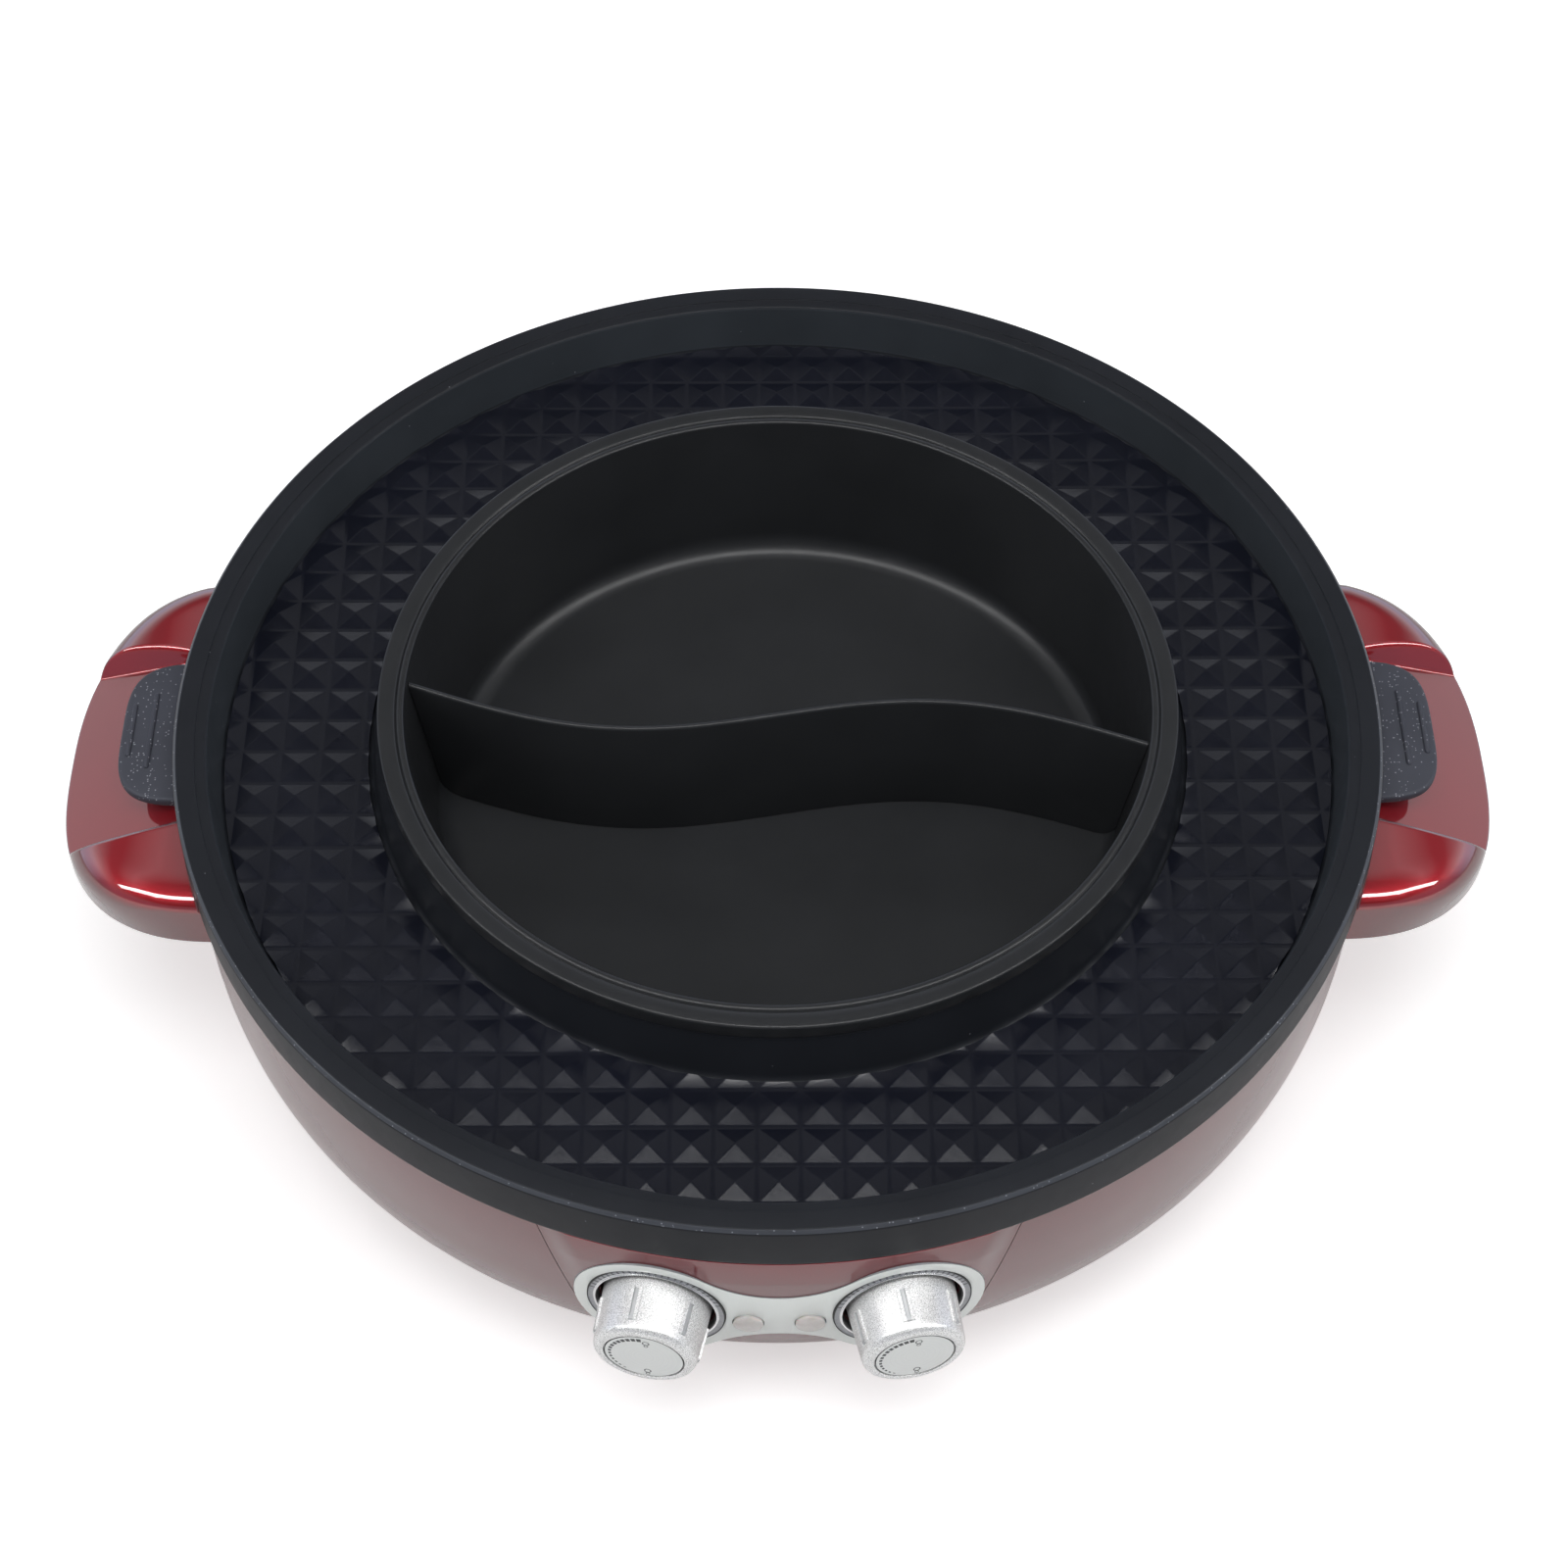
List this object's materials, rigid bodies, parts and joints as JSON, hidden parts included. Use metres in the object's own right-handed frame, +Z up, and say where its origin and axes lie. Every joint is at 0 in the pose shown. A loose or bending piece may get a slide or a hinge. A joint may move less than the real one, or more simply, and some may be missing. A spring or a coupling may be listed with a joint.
{
  "type": "electric hot pot and grill",
  "caption": "Round electric table cooker with a ring-shaped non-stick grill pan, a divided hot pot in its middle, wing handles and front dials.",
  "frame": {"origin": "on the table, midway between the front of the knobs and the back of the power inlet, and midway between the handles", "axes": "+Z up, -Y to the front with the knobs, +X to the right-hand handle"},
  "size_m": [0.5426, 0.4688, 0.134],
  "materials": {
    "red_gloss": "deep red metallic gloss",
    "panel_grey": "light silver grey, satin",
    "smoked_ring": "smoked grey, clear gloss",
    "knob_satin": "fine blasted satin silver",
    "lens_milky": "milky, unlit",
    "pan_coating": "black non-stick coating with fine light specks",
    "pot_coating": "black non-stick coating",
    "brass": "turned brass",
    "zinc_steel": "zinc plated",
    "sensor_steel": "drawn stainless steel",
    "shield_steel": "aluminised sheet steel",
    "element_steel": "dark oxidised tube",
    "plate_aluminium": "cast and turned",
    "ceramic_white": "unglazed steatite",
    "lamp_body": "clear tube with a white collar",
    "base_black": "fine-grained black",
    "foot_rubber": "matt black",
    "wire_cover": "silicone sleeve"
  },
  "bodies": {
    "base": {"housing_bowl": "red_gloss", "front_fascia": "red_gloss", "handle_left": "red_gloss", "handle_right": "red_gloss", "control_trim": "panel_grey", "dial_ring_left": "smoked_ring", "dial_ring_right": "smoked_ring", "lamp_lens_left": "lens_milky", "lamp_lens_right": "lens_milky", "indicator_lamp_left": "lamp_body", "indicator_lamp_right": "lamp_body", "thermostat_left": "zinc_steel", "thermostat_right": "zinc_steel", "thermostat_nut_left": "zinc_steel", "thermostat_nut_right": "zinc_steel", "control_bracket": "zinc_steel", "bracket_screw_1": "zinc_steel", "bracket_screw_2": "zinc_steel", "handle_screw_left_1": "zinc_steel", "handle_screw_left_2": "zinc_steel", "handle_screw_right_1": "zinc_steel", "handle_screw_right_2": "zinc_steel", "heat_shield": "shield_steel", "grill_element": "element_steel", "element_saddle_1": "ceramic_white", "element_saddle_2": "ceramic_white", "element_saddle_3": "ceramic_white", "hot_plate": "plate_aluminium", "plate_post_1": "zinc_steel", "plate_post_2": "zinc_steel", "plate_post_3": "zinc_steel", "plate_sensor": "sensor_steel", "pot_element": "element_steel", "base_cover": "base_black", "cover_screw_1": "zinc_steel", "cover_screw_2": "zinc_steel", "cover_screw_3": "zinc_steel", "cover_screw_4": "zinc_steel", "rubber_foot_1": "foot_rubber", "rubber_foot_2": "foot_rubber", "rubber_foot_3": "foot_rubber", "rubber_foot_4": "foot_rubber", "power_inlet": "base_black", "inlet_pin_live": "brass", "inlet_pin_neutral": "brass", "inlet_pin_earth": "brass", "terminal_block": "ceramic_white", "wire_live": "wire_cover", "wire_left": "wire_cover", "wire_right": "wire_cover"},
    "pan": {"grill_pan": "pan_coating"},
    "pot": {"hot_pot": "pot_coating", "pot_divider": "pot_coating"},
    "left_dial": {"knob_left": "knob_satin", "knob_cap_left": "panel_grey", "knob_shaft_left": "brass"},
    "right_dial": {"knob_right": "knob_satin", "knob_cap_right": "panel_grey", "knob_shaft_right": "brass"}
  },
  "joints": [
    {"name": "pan_lift", "type": "slide", "parent": "base", "child": "pan", "axis": [0, 0, 1], "range_m": [0, 0.12]},
    {"name": "pot_lift", "type": "slide", "parent": "pan", "child": "pot", "axis": [0, 0, 1], "range_m": [0, 0.12]},
    {"name": "left_dial_turn", "type": "hinge", "parent": "base", "child": "left_dial", "pos_m": [-0.04143, -0.20672, 0.069], "axis": [0.1892, 0.9819, 0], "range_deg": [0, 270]},
    {"name": "right_dial_turn", "type": "hinge", "parent": "base", "child": "right_dial", "pos_m": [0.04143, -0.20672, 0.069], "axis": [-0.1892, 0.9819, 0], "range_deg": [0, 270]}
  ]
}
